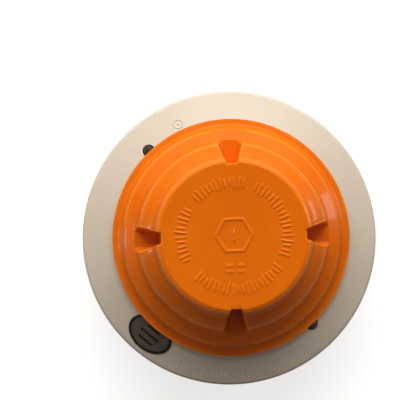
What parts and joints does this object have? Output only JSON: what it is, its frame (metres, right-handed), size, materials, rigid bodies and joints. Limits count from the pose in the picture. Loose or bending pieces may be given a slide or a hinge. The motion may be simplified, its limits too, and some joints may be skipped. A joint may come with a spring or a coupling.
{
  "type": "ceiling smoke detector",
  "caption": "Round ceiling smoke detector head that twist-locks into its mounting base, with a notched pull-off orange dust cover over the crown.",
  "frame": {"origin": "centre of the mounting base's back face, on the ceiling plane", "axes": "+Z points out of the ceiling into the room; the dust cover's four notches lie on the X and Y axes"},
  "size_m": [0.104, 0.104, 0.055],
  "materials": {
    "mounting_base": "satin ivory",
    "base_contact": "bright",
    "clamp_plate": "zinc plated",
    "terminal_screw": "zinc plated",
    "outer_cover": "satin gloss ivory",
    "rear_housing": "satin ivory",
    "circuit_board": "green solder mask",
    "board_screw": "zinc plated",
    "contact_blade": "bright",
    "contact_post": "turned",
    "post_screw": "zinc plated",
    "shield_can": "tin plated",
    "microcontroller": "moulded",
    "capacitor": "plain can",
    "reed_switch": "clear",
    "status_lamp": "clear resin",
    "light_pipe": "smoked",
    "chamber_base": "moulded black",
    "chamber_cap": "moulded black",
    "insect_screen": "fine mesh",
    "ir_emitter": "clear resin",
    "photodiode": "dark resin",
    "switch": "moulded blue",
    "dial": "moulded white",
    "label": "printed film",
    "dust_cover": "thermoformed orange sheet"
  },
  "bodies": {
    "base": {"mounting_base": "mounting_base", "base_contact_1": "base_contact", "base_contact_2": "base_contact", "base_contact_3": "base_contact", "base_contact_4": "base_contact", "clamp_plate_1": "clamp_plate", "clamp_plate_2": "clamp_plate", "clamp_plate_3": "clamp_plate", "clamp_plate_4": "clamp_plate", "terminal_screw_1": "terminal_screw", "terminal_screw_2": "terminal_screw", "terminal_screw_3": "terminal_screw", "terminal_screw_4": "terminal_screw"},
    "head": {"outer_cover": "outer_cover", "rear_housing": "rear_housing", "circuit_board": "circuit_board", "board_screw_1": "board_screw", "board_screw_2": "board_screw", "board_screw_3": "board_screw", "contact_blade_1": "contact_blade", "contact_blade_2": "contact_blade", "contact_blade_3": "contact_blade", "contact_blade_4": "contact_blade", "contact_post_1": "contact_post", "contact_post_2": "contact_post", "contact_post_3": "contact_post", "contact_post_4": "contact_post", "post_screw_1": "post_screw", "post_screw_2": "post_screw", "post_screw_3": "post_screw", "post_screw_4": "post_screw", "shield_can": "shield_can", "microcontroller": "microcontroller", "capacitor_1": "capacitor", "capacitor_2": "capacitor", "reed_switch": "reed_switch", "status_lamp_1": "status_lamp", "status_lamp_2": "status_lamp", "light_pipe_1": "light_pipe", "light_pipe_2": "light_pipe", "chamber_base": "chamber_base", "chamber_cap": "chamber_cap", "insect_screen": "insect_screen", "ir_emitter": "ir_emitter", "photodiode": "photodiode", "tens_switch": "switch", "ones_switch": "switch", "label": "label"},
    "tens_dial": {"tens_dial": "dial"},
    "ones_dial": {"ones_dial": "dial"},
    "dust_cover": {"dust_cover": "dust_cover"}
  },
  "joints": [
    {"name": "head_twist", "type": "hinge", "parent": "base", "child": "head", "pos_m": [0, 0, 0], "axis": [0, 0, 1], "range_deg": [0, 20]},
    {"name": "dust_cover_pull", "type": "slide", "parent": "head", "child": "dust_cover", "axis": [0, 0, 1], "range_m": [0, 0.03]},
    {"name": "tens_dial_turn", "type": "hinge", "parent": "head", "child": "tens_dial", "pos_m": [-0.0085, 0, 0.0096], "axis": [0, 0, 1], "continuous": true},
    {"name": "ones_dial_turn", "type": "hinge", "parent": "head", "child": "ones_dial", "pos_m": [0.0085, 0, 0.0096], "axis": [0, 0, 1], "continuous": true}
  ]
}
